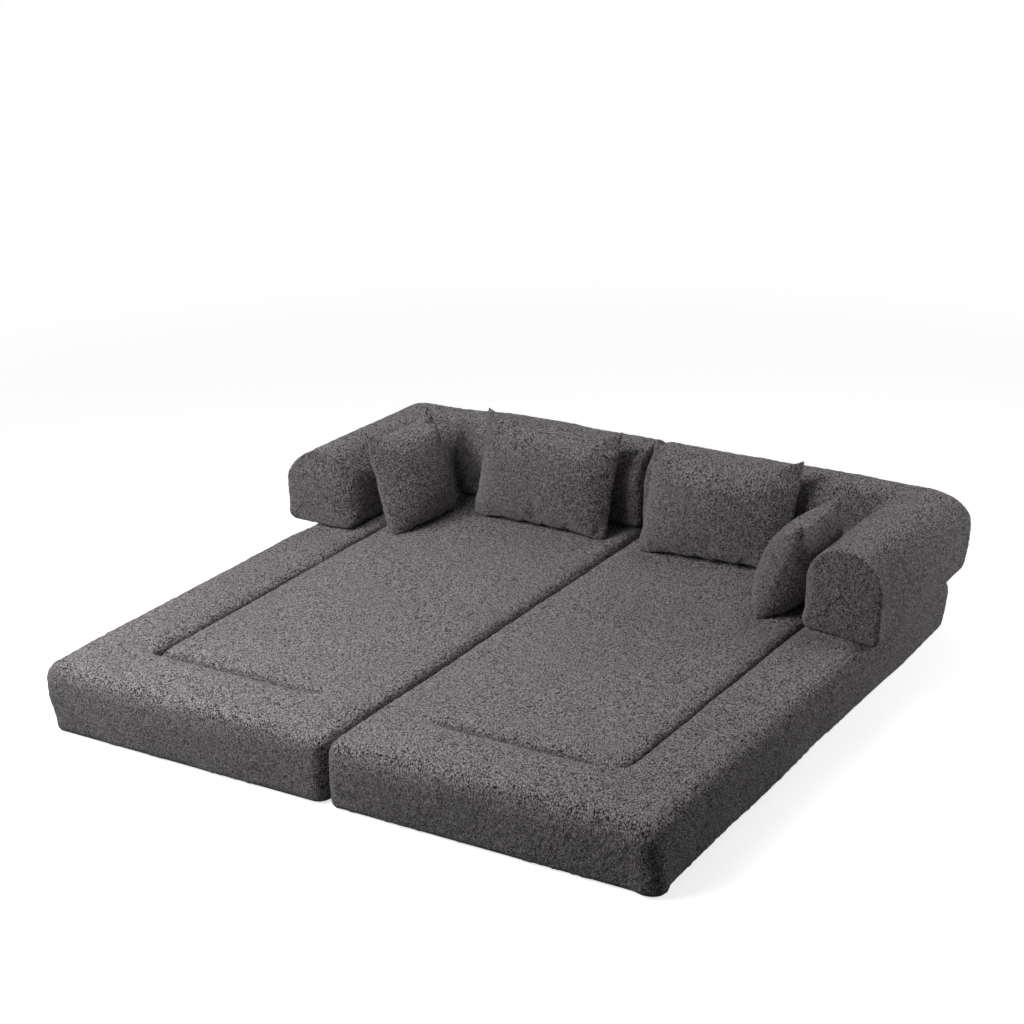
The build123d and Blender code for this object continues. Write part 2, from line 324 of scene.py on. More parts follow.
def layeredNoise(points, layers):
    # Sum of lattice noises, each given by its cell in metres, its seed and its share
    return sum(share * latticeNoise(points, cell, seed) for cell, seed, share in layers)


def gridQuads(indices):
    # Quads of a 2-D array of vertex numbers
    corners = (indices[:-1, :-1], indices[1:, :-1], indices[1:, 1:], indices[:-1, 1:])
    return np.stack([c.ravel() for c in corners], axis=1)


def addPiece(name, points, quads, caps=()):
    mesh = bpy.data.meshes.new(name)
    faces = quads.tolist() + [list(map(int, cap)) for cap in caps]
    mesh.from_pydata(points.tolist(), [], faces)
    work = bmesh.new()
    work.from_mesh(mesh)
    bmesh.ops.recalc_face_normals(work, faces=work.faces)
    work.to_mesh(mesh)
    work.free()
    mesh.polygons.foreach_set("use_smooth", np.ones(len(mesh.polygons), dtype=bool))
    piece = bpy.data.objects.new(name, mesh)
    bpy.context.scene.collection.objects.link(piece)
    return piece


def readPoints(piece):
    points = np.empty(len(piece.data.vertices) * 3)
    piece.data.vertices.foreach_get("co", points)
    return points.reshape(-1, 3)


def readNormals(piece):
    normals = np.empty(len(piece.data.vertices) * 3)
    piece.data.vertex_normals.foreach_get("vector", normals)
    return normals.reshape(-1, 3)


def writePoints(piece, points):
    piece.data.vertices.foreach_set("co", points.ravel())
    piece.data.update()


def dress(piece, body, nodes):
    piece.data.materials.append(finishes["teddy"])
    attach(piece, body)
    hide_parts(*nodes)


# Base covers

baseShape = {
    "step": 0.0066,
    "topRadius": {"right": 0.068, "left": 0.054},
    "innerTopRadius": 0.036,
    "cornerRadius": 0.066,  # of the outer corners
    "innerCornerRadius": 0.042,
    "leastRadius": 0.004,
    "bottomRadius": 0.020,
    "bottomLip": 0.054,
    "lipRows": 4,
    "innerBlend": 0.17,  # along the front, from the inner corner's tight roll-over to the full one
    "channelFromOuter": 0.238,
    "channelLip": 0.048,
    "channelDrop": 0.022,
    "channelGap": 0.0042,
    "channelDepth": 0.052,
    "channelTurnPoints": 30,
    "channelColumns": 18,  # on each side of the slot
    "channelEnds": (0.014, 0.03),  # how fast it opens up at its front end, and before the rear edge
    "channelTurn": {"right": (0.050, 0.080), "left": (0.0, 0.03)},  # how its front end bends into the seam
    "turnReach": 0.16,
    "turnShare": 0.97,  # of the quarter ellipse
    "seamFromFront": 0.272,
    "seamInnerEnd": 0.166,
    "seamFade": 0.10,
    "seamOuterEnd": 0.014,
    "seamOuterFade": 0.02,
    "seamTurn": 0.75,  # share of the channel's turn by which the seam ends earlier
    "seamDip": 0.010,
    "seamDipWidth": 0.028,
    "seamSlit": 0.030,
    "seamSlitWidth": 0.0085,
    "seamRows": (2.6, 0.014),  # how many more rows there are at the seam, and how near to it
    "pull": 0.009,  # the crease that the right channel's end draws towards the front
    "pullPlace": 0.012,
    "pullTurn": 0.5,
    "pullStart": 0.02,
    "pullWidth": 0.019,
    "pullReach": 0.20,
    "pullSlant": 0.16,
    "crown": 0.006,  # of the seat pad
    "seatLength": 1.25,
    "borderCrown": 0.6,  # share of the crown that the side border has, and where that fades out
    "borderCrownEnd": 0.24,
    "borderCrownFade": 0.15,
    "frontCrown": 0.8,
    "crownFade": 0.1,
    "bulge": 0.005,
    "flare": {"right": 0.019, "left": -0.022},  # how far the cover's front outer corner stands out near the floor
    "flareHeight": {"right": 0.20, "left": 0.13},
    # Places along the outer side, and how far its foot stands out there
    "footAt": (-1.07, -0.95, -0.75, -0.30, 0.0, 0.45, 0.62, 1.0),
    "foot": {"right": (0.020, 0.014, 0.006, 0.004, -0.008, -0.007, -0.004, -0.016), "left": (0,) * 8},
    "footHeight": 0.18,
    "footReach": (0.10, 0.08),  # how far inside the cover's side it starts, and over what width it grows
    "sideFall": {"right": 0.012, "left": -0.009},  # how far the side border slopes down outwards
    "sideFallFrom": 0.02,
    "leftFallEnd": 0.30,
    "leftFallFade": 0.12,
    "wave": 0.0028,
    "waveCells": ((0.22, 11, 1), (0.09, 12, 0.5)),
    "pile": 0.0019,
    "pileCells": ((0.0075, 13, 1), (0.017, 14, 0.6)),
    "underArm": (0.82, 0.30),  # from there outwards and to the rear something rests on the cover
    "underBack": 0.78,
    "pressedAbove": 0.15,
    "pressedCalm": 0.25,  # share of the waves that is left under it
    "pressedTop": 0.19,
    "pressedDepth": 0.0006,
    "floorBand": 0.004,
    "rearBand": 0.01,
    "rearCalm": 0.15,
    "innerBand": 0.012,
    "innerRange": (-0.003, 0.0025),  # how far the walls that face each other may move
}


def rolledEdge(v, radius, low, high):
    # Profile from the bottom lip, round the bottom edge, up the side and over the top edge: inset and height.
    # Both sides' covers take their number of rings from the right one's edge
    step, bottom, usual = v["step"], v["bottomRadius"], v["topRadius"]["right"]
    lip = np.linspace(v["bottomLip"], bottom, v["lipRows"])[:-1]
    turnCount = int(round(bottom * math.pi / 2 / step))
    turn = np.linspace(0, math.pi / 2, turnCount + 1)[:-1]
    wallCount = int(round((high - low - bottom - usual) / step))
    wall = np.linspace(low + bottom, high - radius, wallCount + 1)[:-1]
    overCount = int(round(usual * math.pi / 2 / step))
    over = np.linspace(0, math.pi / 2, overCount + 1)
    inset = np.concatenate([lip, bottom * (1 - np.sin(turn)), 0 * wall, radius * (1 - np.cos(over))])
    height = np.concatenate([
        0 * lip + low, low + bottom * (1 - np.cos(turn)), wall, high - radius * (1 - np.sin(over))])
    return inset, height


def spread(start, end, step, seams=(), crowding=(0, 1)):
    # Places from start to end about a step apart, closer together near each seam
    fine = np.linspace(start, end, 4000)
    density = np.ones_like(fine)
    for seam in seams:
        density += crowding[0] * np.exp(-((fine - seam) / crowding[1]) ** 2)
    total = np.concatenate([[0], np.cumsum((density[1:] + density[:-1]) / 2 * np.diff(fine))])
    count = int(round(total[-1] / step))
    return np.interp(np.linspace(0, total[-1], count + 1), total, fine)


def alongSide(share, length, first, last):
    # Side of a rounded rectangle from mid corner to mid corner: way along it, and inset in the corners
    quarter = math.pi / 4
    a, b, c = first * quarter, length - first - last, last * quarter
    run = share * (a + b + c)
    startTurn = quarter * np.clip(1 - run / np.maximum(a, 1e-9), 0, 1)
    endTurn = quarter * np.clip((run - a - b) / np.maximum(c, 1e-9), 0, 1)
    along = first * (1 - np.sin(startTurn)) + np.clip(run - a, 0, b) + last * np.sin(endTurn)
    inset = first * (1 - np.cos(startTurn)) + last * (1 - np.cos(endTurn))
    return along, inset


def tuckProfile(v):
    # Half section of the channel: way along the cloth against half width and drop
    turn = np.linspace(math.pi / 2, 0, v["channelTurnPoints"])
    lip, gap, drop = v["channelLip"], v["channelGap"], v["channelDrop"]
    x = gap + (lip - gap) * (1 - np.cos(turn))
    z = drop * (1 - np.sin(turn))
    x = np.concatenate([x, [gap, 0]])
    z = np.concatenate([z, [v["channelDepth"] - gap, v["channelDepth"]]])
    run = np.concatenate([[0], np.cumsum(np.hypot(np.diff(x), np.diff(z)))])
    return run / run[-1], x, z


def cornerSlack(v, side, x, y, z, low, high):
    # Round the front outer corner: flare times the sine of twice the angle, fading out upwards and inwards
    awayX = np.maximum(x - (high[0] - v["cornerRadius"]), 0)
    awayY = np.maximum(low[1] + v["cornerRadius"] - y, 0)
    away = np.maximum(np.hypot(awayX, awayY), 1e-9)
    slack = v["flare"][side] * (2 * awayX * awayY / away ** 2)
    slack = slack * smooth(1 - (z - low[2]) / v["flareHeight"][side]) * smooth(away / v["cornerRadius"])
    return slack * awayX / away, -slack * awayY / away


def channelBend(v, side, across, y, channel, seam):
    # Quarter of an ellipse by which the channel's front end turns inwards, fading out to both sides and ahead
    width, length = v["channelTurn"][side]
    bend = width * (1 - np.sqrt(1 - np.clip(1 - (y - seam) / length, 0, v["turnShare"]) ** 2))
    bend = bend * np.clip(1 - np.abs(across - channel) / v["turnReach"], 0, 1)
    return bend * smooth(1 - (seam - y) / v["turnReach"])


def seamDepth(v, side, x, y, channel, seam):
    # Two bell curves across the front seam, a wide shallow dip and a narrow slit, fading out towards the middle
    outerEnd = channel + v["seamOuterEnd"] - v["seamTurn"] * v["channelTurn"][side][0]
    reach = smooth((x - v["seamInnerEnd"]) / v["seamFade"]) * smooth((outerEnd - x) / v["seamOuterFade"])
    away = np.abs(y - seam)
    dip = v["seamDip"] * np.exp(-(away / v["seamDipWidth"]) ** 2)
    return reach * (dip + v["seamSlit"] * np.exp(-(away / v["seamSlitWidth"]) ** 2))


def pullRidge(v, side, x, y, channel, seam):
    # Bell-shaped ridge that runs forwards from the end of the channel
    ahead = seam - y
    middle = channel - v["pullPlace"] - v["pullTurn"] * v["channelTurn"][side][0] - v["pullSlant"] * ahead
    ridge = np.exp(-((x - middle) / v["pullWidth"]) ** 2)
    return v["pull"] * ridge * smooth(ahead / v["pullStart"]) * smooth(1 - ahead / v["pullReach"])


def padCrown(v, x, y, inner, channel, outer, near, seam):
    # Parabolas and a fourth power over the seat, the side border and the front border, none under the bolster
    seatX = np.clip((x - inner) / (channel - inner) * 2 - 1, -1, 1)
    seatY = np.clip((y - seam) / v["seatLength"] * 2 - 1, -1, 1)
    seat = (1 - seatX ** 4) * (1 - seatY ** 2) * (x < channel) * (y > seam)
    borderX = np.clip((x - channel) / (outer - channel) * 2 - 1, -1, 1)
    border = (1 - borderX ** 2) * (x > channel) * smooth((v["borderCrownEnd"] - y) / v["borderCrownFade"])
    border = border * smooth((y - seam) / v["crownFade"])
    frontY = np.clip((y - near) / (seam - near) * 2 - 1, -1, 1)
    front = (1 - frontY ** 2) * (y < seam) * (y > near) * smooth((outer - x) / v["crownFade"])
    return v["crown"] * (seat + v["borderCrown"] * border + v["frontCrown"] * front)


def roughenBase(piece, v, points, low, high):
    # Slow waves and the pile, both along the surface's own direction, less where something rests on it
    across, along, level = np.abs(points[:, 0]), points[:, 1], points[:, 2]
    armX, armY = v["underArm"]
    pressed = (along > armY) & (across > armX) | (along > v["underBack"])
    calm = np.where(pressed & (level > v["pressedAbove"]), v["pressedCalm"], 1.0)
    calm = np.where(level < low[2] + v["floorBand"], 0.0, calm)
    calm = np.where(along > high[1] - v["rearBand"], v["rearCalm"], calm)
    wave = v["wave"] * layeredNoise(points, v["waveCells"])
    lift = calm * (wave + v["pile"] * layeredNoise(points, v["pileCells"]))
    sunk = np.minimum(lift, 0) - v["pressedDepth"] * (level > v["pressedTop"])
    lift = np.where(pressed, sunk, lift)
    lift = np.where(across < v["innerBand"], np.clip(lift, *v["innerRange"]), lift)
    moved = points + readNormals(piece) * lift[:, None]
    moved[:, 2] = np.maximum(moved[:, 2], low[2])
    writePoints(piece, moved)


def baseCover(side):
    sign = sides[side]
    v = baseShape
    low, high = (np.array(c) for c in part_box("right_base_cover"))
    (x0, y0, z0), (x1, y1, z1) = low, high
    step = v["step"]
    insetOuter, levelOuter = rolledEdge(v, v["topRadius"][side], z0, z1)
    insetInner, levelInner = rolledEdge(v, v["innerTopRadius"], z0, z1)
    rings = len(insetOuter) - 1
    travel = np.concatenate([[0], np.cumsum(np.hypot(np.diff(insetOuter), np.diff(levelOuter)))])

    # One grid for the whole cover: rings round its edges and walls, columns and rows on its top
    channel = x1 - v["channelFromOuter"]
    seam = y0 + v["seamFromFront"]
    lip = v["channelLip"]
    left, right = x0 + insetInner[-1], x1 - insetOuter[-1]
    near, far = y0 + insetOuter[-1], y1 - insetOuter[-1]
    columns = np.concatenate([
        spread(left, channel - lip, step)[:-1],
        channel + np.linspace(-lip, lip, 2 * v["channelColumns"] + 1),
        spread(channel + lip, right, step)[1:],
    ])
    rows = spread(near, far, step, (seam,), v["seamRows"])
    margin = travel[-1] - travel[:-1]
    u = np.concatenate([left - margin, columns, (right + margin)[::-1]])
    w = np.concatenate([near - margin, rows, (far + margin)[::-1]])

    i, j = np.meshgrid(np.arange(len(u)), np.arange(len(w)), indexing="ij")
    backI, backJ = len(u) - 1 - i, len(w) - 1 - j
    ring = np.minimum.reduce([i, j, backI, backJ])
    outside = ring < rings
    onTop = ~outside
    r = np.minimum(ring, rings)
    ringLeft, ringRight = x0 + insetInner[r], x1 - insetOuter[r]
    ringNear, ringFar = y0 + insetOuter[r], y1 - insetOuter[r]
    innerRadius = np.clip(v["innerCornerRadius"] - insetInner[r], v["leastRadius"], None)
    outerRadius = np.clip(v["cornerRadius"] - insetOuter[r], v["leastRadius"], None)
    acrossShare = (u[i] - u[r]) / (u[len(u) - 1 - r] - u[r])
    alongShare = (w[j] - w[r]) / (w[len(w) - 1 - r] - w[r])
    acrossRun, acrossInset = alongSide(acrossShare, ringRight - ringLeft, innerRadius, outerRadius)
    innerRun, innerInset = alongSide(alongShare, ringFar - ringNear, innerRadius, innerRadius)
    outerRun, outerInset = alongSide(alongShare, ringFar - ringNear, outerRadius, outerRadius)

    onFront, onRear = outside & (j == ring), outside & (backJ == ring)
    onInner = outside & (i == ring) & ~onFront & ~onRear
    onOuter = outside & (backI == ring) & ~onFront & ~onRear
    x = np.select([onFront | onRear, onInner, onOuter],
                  [ringLeft + acrossRun, ringLeft + innerInset, ringRight - outerInset], u[i])
    y = np.select([onFront, onRear, onInner, onOuter],
                  [ringNear + acrossInset, ringFar - acrossInset, ringNear + innerRun, ringNear + outerRun], w[j])
    towardsInner = np.select([onInner, onOuter], [1.0, 0.0], smooth(1 - (x - x0) / v["innerBlend"]))
    z = levelOuter[r] * (1 - towardsInner) + levelInner[r] * towardsInner

    # Fullness of the outer and front walls, then the slack corner and the foot of the side
    wallShare = np.clip((z - z0) / (z1 - z0), 0, 1)
    swell = v["bulge"] * np.sin(math.pi * wallShare) * outside
    x = x + swell * onOuter
    y = y - swell * onFront
    slackX, slackY = cornerSlack(v, side, x, y, z, low, high)
    foot = np.interp(y, v["footAt"], v["foot"][side]) * smooth(1 - (z - z0) / v["footHeight"])
    footFrom, footOver = v["footReach"]
    x = x + foot * smooth((x - x1 + footFrom) / footOver)
    x, y = x + slackX, y + slackY

    # Channel beside the seat: columns follow the tuck, opened up at its front end and before the rear edge
    share, tuckX, tuckZ = tuckProfile(v)
    offset = (u[i] - channel) / lip
    inTuck = onTop & (np.abs(offset) < 1)
    frontEnd, rearEnd = v["channelEnds"]
    opened = smooth((y - seam) / frontEnd) * smooth((far - y) / rearEnd)
    tucked = np.interp(1 - np.abs(offset), share, tuckX)
    dropped = np.interp(1 - np.abs(offset), share, tuckZ)
    bend = channelBend(v, side, u[i], y, channel, seam)
    shifted = np.sign(offset) * (tucked * opened + np.abs(offset) * lip * (1 - opened))
    x = np.where(inTuck, channel + shifted, x) - bend * onTop
    z = np.where(inTuck, z - dropped * opened, z)

    # Stitched seam, pulled crease and crowned pads, then the slope of the side border
    z = z - onTop * seamDepth(v, side, x, y, channel, seam)
    if side == "right":
        z = z + onTop * pullRidge(v, side, x, y, channel, seam)
    z = z + onTop * padCrown(v, x, y, x0, channel, right, near, seam)
    fallFrom = channel + v["sideFallFrom"]
    fall = v["sideFall"][side] * np.clip((x - fallFrom) / (right - fallFrom), 0, 1)
    if side == "left":
        fall = fall * smooth((v["leftFallEnd"] - y) / v["leftFallFade"])
    z = z0 + (z - z0) * (1 - fall / (z1 - z0))

    points = np.stack([sign * x, y, z], axis=-1).reshape(-1, 3)
    indices = np.arange(len(points)).reshape(i.shape)
    rim = np.concatenate([indices[:, 0], indices[-1, 1:], indices[-2::-1, -1], indices[0, -2:0:-1]])
    piece = addPiece(side + "BaseCover", points, gridQuads(indices), caps=[rim])
    roughenBase(piece, v, points, low, high)
    nodes = ["base_cover", "seat_core", "seat_topper", "side_border_foam", "front_border_foam"]
    dress(piece, side + "_module", [side + "_" + n for n in nodes])


# Bolster covers

bolsterShape = {
    "step": 0.006,
    "width": 0.270,
    "topRadius": 0.124,
    "bottomRadius": 0.030,
    "endRadius": {"right": 0.020, "left": 0.022},
    "innerEndRadius": {"right": 0.046, "left": 0.072},  # the upright edge between the end face and the inner side
    "innerEndAcross": 0.09,  # how far across the section that edge's radius reaches
    "innerEndFrom": 0.02,
    "innerEndFade": (0.05, 0.08),  # at its foot and at its head
    "centreEndRadius": 0.024,
    "cornerOuter": 0.074,
    "cornerInner": 0.008,
    "cornerGrowth": 1.3,
    "endFullness": 0.006,
    "capInset": 0.131,
    "capRows": 20,
    "edgeRows": 8,
    "cornerRows": 26,
    "wave": 0.0034,
    "waveCells": ((0.17, 21, 1), (0.07, 22, 0.5)),
    "pile": 0.0018,
    "pileCells": ((0.0075, 23, 1), (0.017, 24, 0.6)),
    "hangAt": (0.306, 0.567, 0.950),  # places along the arm, and how far its outer edge hangs over the base there
    "hang": {"right": (0.044, 0.046, 0.012), "left": (0.0, 0.0, 0.016)},
    "tuckIn": {"right": (0.010, 0.010, 0.012), "left": (0.0, 0.0, 0.0)},
    "tuckFrom": 0.03,
    "tuckOver": 0.05,
    "hangHeight": 0.13,
    "frontFall": {"right": 0.026, "left": 0.0},  # the arm's front settles straight down towards its outer edge
    "frontFallEnd": 0.62,
    "frontFallFade": 0.30,
    "topSettle": 0.005,
    "topSettleFrom": 0.55,  # as a share of the height
    "topSettleOver": 0.35,
    "endSettle": {"right": 0.004, "left": 0.016},
    "endSettleFrom": 0.55,  # in metres across
    "endSettleOver": 0.4,
    "outward": {"right": (-0.012, 0.007), "left": (-0.013, 0.012)},  # at the arm's front, and at the rear
    "outwardFrom": 0.40,
    "outwardOver": 0.45,
    "outwardSide": (0.5, 0.35),  # share of the width at which it starts, and over which it grows
    "outwardPower": 0.8,
    "outwardStart": 0.05,
    "splay": {"right": 0.0, "left": 0.034},  # how far the arm's front end lies out of line
    "splayFrom": 0.95,
    "splayLength": 0.6,
    "underBand": 0.004,
    "underPile": 0.0002,
    "centreBand": 0.03,
    "centreRange": (-0.004, 0.0025),  # how far the ends that face each other may move
    "zipBand": (0.004, 0.11),  # how near to the rear, and how high up, the cloth is held flat for the zip
    "zipPile": 0.0003,
}


def hangOver(v, side, x, y, z, innerX, z0):
    # The outer lower edge sinks onto the base's rounded edge, as deep as that lies below its top, then hangs free
    sideX, rearY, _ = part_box("right_base_cover")[1]
    corner, edge = baseShape["cornerRadius"], baseShape["topRadius"][side]
    beyondX, beyondY = x - (sideX - corner), y - (rearY - corner)
    beyond = np.hypot(np.maximum(beyondX, 0), np.maximum(beyondY, 0))
    out = beyond + np.minimum(np.maximum(beyondX, beyondY), 0) - corner
    over = np.clip(out + edge, 0, edge)
    below = edge - np.sqrt(edge ** 2 - over ** 2)
    sunk = np.minimum(below, np.interp(y, v["hangAt"], v["hang"][side]))
    frontFall = v["frontFall"][side]
    sideways = np.clip((x - innerX) / v["width"], 0, 1)
    atFront = smooth((v["frontFallEnd"] - y) / v["frontFallFade"]) * (frontFall > 0)
    low = smooth(1 - (z - z0) / v["hangHeight"])
    sunk = (sunk + (frontFall * sideways - sunk) * atFront) * low
    tuck = np.interp(y, v["hangAt"], v["tuckIn"][side]) * low * smooth((out + v["tuckFrom"]) / v["tuckOver"])
    return x - tuck, z - sunk


def sectionRing(v, height):
    # Points of the section, anticlockwise from the inner bottom corner. Each on a corner is a row of seven numbers:
    # the corner's place, the way into the section, the radius, and the cosine and sine of the point's direction.
    # Each on a straight side is two such rows, then its share of the way from one to the other
    step, width = v["step"], v["width"]
    bottom, top = v["bottomRadius"], v["topRadius"]
    corners = [(0, 0, 1, 1, bottom), (width, 0, -1, 1, bottom), (width, height, -1, -1, top), (0, height, 1, -1, top)]
    starts = [math.pi, 1.5 * math.pi, 0, 0.5 * math.pi]
    parts = []
    for k in range(4):
        after = (k + 1) % 4
        radius, nextRadius = corners[k][4], corners[after][4]
        count = int(round(radius * math.pi / 2 / step))
        angle = starts[k] + np.linspace(0, math.pi / 2, count + 1)
        part = np.empty((count + 1, 7))
        part[:, :5] = corners[k]
        part[:, 5], part[:, 6] = np.cos(angle), np.sin(angle)
        parts.append(part)
        length = (height if k in (1, 3) else width) - radius - nextRadius
        between = int(round(length / step)) - 1
        if between > 0:
            share = np.linspace(0, 1, between + 2)[1:-1, None]
            first = np.array([*corners[after], math.cos(starts[after]), math.sin(starts[after])])
            parts.append(np.hstack([np.tile(part[-1], (between, 1)), np.tile(first, (between, 1)), share]))
    return parts


def cornerPoint(part, inset):
    x, z, wayX, wayZ, radius, cosine, sine = part.T
    reach = np.maximum(radius, inset)
    left = np.maximum(radius - inset, 0)
    return np.array([x + wayX * reach + left * cosine, z + wayZ * reach + left * sine])


def sectionPoints(v, height, inset):
    # Rounded section drawn in by inset, which may differ from point to point: place across and height
    spots = []
    start = 0
    for part in sectionRing(v, height):
        own = inset[..., start:start + len(part)]
        spot = cornerPoint(part[:, :7], own)
        if part.shape[1] > 7:
            share = part[:, 14]
            spot = (1 - share) * spot + share * cornerPoint(part[:, 7:14], own)
        spots.append(spot)
        start += len(part)
    return np.concatenate(spots, axis=-1)


def endRows(v, radius, fullness, count):
    # Rows of an end, outwards over its flat cap and round its edge: how far each is drawn in, and how deep it lies
    cap = np.linspace(1, 0, v["capRows"])[:-1, None] * np.ones(count)
    turn = np.linspace(math.pi / 2, 0, v["edgeRows"])[:, None] * np.ones(count)
    inset = np.concatenate([radius + (v["capInset"] - radius) * cap, radius * (1 - np.cos(turn))])
    depth = np.concatenate([-fullness * (1 - (1 - cap) ** 2), radius * (1 - np.sin(turn))])
    return inset, depth


def roughenBolster(piece, v, side, points, outerSide, low, high):
    # Waves, pile, fuller or flatter outer side and settled top, all along the surface's own direction
    across, along, level = np.abs(points[:, 0]), points[:, 1], points[:, 2]
    share = np.clip((level - low[2]) / (high[2] - low[2]), 0, 1)
    pile = layeredNoise(points, v["pileCells"])
    lift = v["wave"] * layeredNoise(points, v["waveCells"]) + v["pile"] * pile
    front, rear = v["outward"][side]
    swell = front + (rear - front) * smooth((along - v["outwardFrom"]) / v["outwardOver"])
    swell = swell * outerSide * np.sin(math.pi * share ** v["outwardPower"])
    settle = v["topSettle"] + v["endSettle"][side] * smooth((across - v["endSettleFrom"]) / v["endSettleOver"])
    lift = lift + swell * smooth((along - low[1]) / v["outwardStart"])
    lift = lift - settle * smooth((share - v["topSettleFrom"]) / v["topSettleOver"])
    zipDepth, zipHeight = v["zipBand"]
    nearZip = (along > high[1] - zipDepth) & (level < low[2] + zipHeight)
    lift = np.where(level < low[2] + v["underBand"], v["underPile"] * pile, lift)
    lift = np.where(across < low[0] + v["centreBand"], np.clip(lift, *v["centreRange"]), lift)
    lift = np.where(nearZip, v["zipPile"] * pile, lift)
    writePoints(piece, points + readNormals(piece) * lift[:, None])


def bolsterCover(side):
    sign = sides[side]
    v = bolsterShape
    low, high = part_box("right_bolster_cover")
    (x0, y0, z0), (x1, y1, z1) = low, high
    width, height, step = v["width"], z1 - z0, v["step"]
    innerX, innerY = x1 - width, y1 - width
    count = sum(len(part) for part in sectionRing(v, height))
    p, level = sectionPoints(v, height, np.zeros((1, count)))[:, 0]
    fromFoot, fromHead = level - v["innerEndFrom"], height - v["innerEndFrom"] - level
    footFade, headFade = v["innerEndFade"]
    innerEdge = smooth(1 - p / v["innerEndAcross"]) * smooth(fromFoot / footFade) * smooth(fromHead / headFade)
    radius = v["endRadius"][side] + (v["innerEndRadius"][side] - v["endRadius"][side]) * innerEdge
    endInset, endDepth = endRows(v, radius, v["endFullness"], count)
    endP, endZ = sectionPoints(v, height, endInset)
    backRadius = v["centreEndRadius"]
    backInset, backDepth = (rows[::-1] for rows in endRows(v, backRadius, 0, count))
    backP, backZ = sectionPoints(v, height, backInset)

    # Long rows: along the arm, round the corner, along the back
    bend = v["cornerInner"] + (v["cornerOuter"] - v["cornerInner"]) * (p / width) ** v["cornerGrowth"]
    armCount = int(round((y1 - y0 - width) / step))
    backCount = int(round((x1 - x0 - width) / step))
    f = np.linspace(0, 1, armCount + 1)[1:, None]
    armX = innerX + p + 0 * f
    armY = (y0 + radius) * (1 - f) + (innerY + p - bend) * f
    phi = np.linspace(0, math.pi / 2, v["cornerRows"])[1:-1, None]
    cornerX = innerX + p - bend + bend * np.cos(phi)
    cornerY = innerY + p - bend + bend * np.sin(phi)
    g = np.linspace(0, 1, backCount + 1)[:-1, None]
    backX = (innerX + p - bend) * (1 - g) + (x0 + backRadius) * g
    backY = innerY + p + 0 * g

    x = np.concatenate([innerX + endP, armX, cornerX, backX, x0 + backDepth])
    y = np.concatenate([y0 + endDepth, armY, cornerY, backY, innerY + backP])
    straight = np.concatenate([f, phi, g]) * 0 + level
    z = z0 + np.concatenate([endZ, straight, backZ])
    x = x + v["splay"][side] * smooth((v["splayFrom"] - y) / v["splayLength"])
    x, z = hangOver(v, side, x, y, z, innerX, z0)
    points = np.stack([sign * x, y, z], axis=-1).reshape(-1, 3)
    indices = np.arange(len(points)).reshape(x.shape)
    loop = np.concatenate([indices, indices[:, :1]], axis=1)
    piece = addPiece(side + "BolsterCover", points, gridQuads(loop), caps=[indices[0], indices[-1]])
    outerFrom, outerOver = v["outwardSide"]
    outerSide = np.broadcast_to(smooth((p / width - outerFrom) / outerOver), x.shape).ravel()
    roughenBolster(piece, v, side, points, outerSide, low, high)
    nodes = ["bolster_cover", "arm_foam", "back_foam"]
    dress(piece, side + "_bolster", [side + "_" + n for n in nodes])


# Pillows

pillowShape = {
    "step": 0.0090,  # before the refining that halves it
    "height": 0.366,
    "frontBelly": 0.080,
    "backBelly": 0.052,
    "earFullness": 0.26,
    "ear": (0.013, 0.003),  # how far the corners stick out at the head, and at the foot
    "earPower": (6, 9),
    "earAcross": 0.5,
    "blunt": 0.005,  # how far each corner's very tip is rounded back
    "bluntReach": 0.010,
    "footSag": 0.012,
    "headSag": 0.033,
    "sagShare": 0.62,
    "sidePull": 0.016,
    "slump": 0.10,
    "domePower": 2.3,
    "edgeFall": 0.50,
    "spare": 0.035,  # share by which the cloth is larger than the filled shape, which puckers it at the seam
    "pressure": 5.0,
    "stretch": 25,
    "shear": 8,
    "bending": 1.5,
    "damping": 15,
    "frames": 20,
    "mostMoved": 0.024,
    "wave": 0.0016,
    "waveCells": ((0.06, 31, 1),),
    "pile": 0.0014,
    "pileCells": ((0.0065, 32, 1),),
    "noiseHeight": 0.3,  # with the pillow's own place, it gives each a different part of the noise
    "waveEdge": 0.02,
    "droopFrom": 0.045,
    "droopHeight": 0.12,
    "pressed": 0.004,
    "stand": 0.2053,
}

# Where the foot stands, measured from the base's front edge, then degrees, and fullness at the front and back
pillowPlaces = {
    "left_arm": {
        "width": 0.338, "x": -0.708, "y": 1.596, "turn": 84.5, "lean": 16.6, "roll": 0,
        "droop": 0.022, "full": (1.15, 1.1)},
    "left_back": {
        "width": 0.534, "x": -0.329, "y": 1.744, "turn": -1.0, "lean": 17.6, "roll": 0,
        "droop": 0.022, "full": (1.0, 1.0)},
    "right_back": {
        "width": 0.534, "x": 0.340, "y": 1.728, "turn": 2, "lean": 23, "roll": 1.2,
        "droop": 0.024, "full": (1.0, 1.0)},
    "right_arm": {
        "width": 0.338, "x": 0.670, "y": 1.544, "turn": -89, "lean": 23.6, "roll": 0,
        "droop": 0.006, "full": (1.05, 1.55)},
}


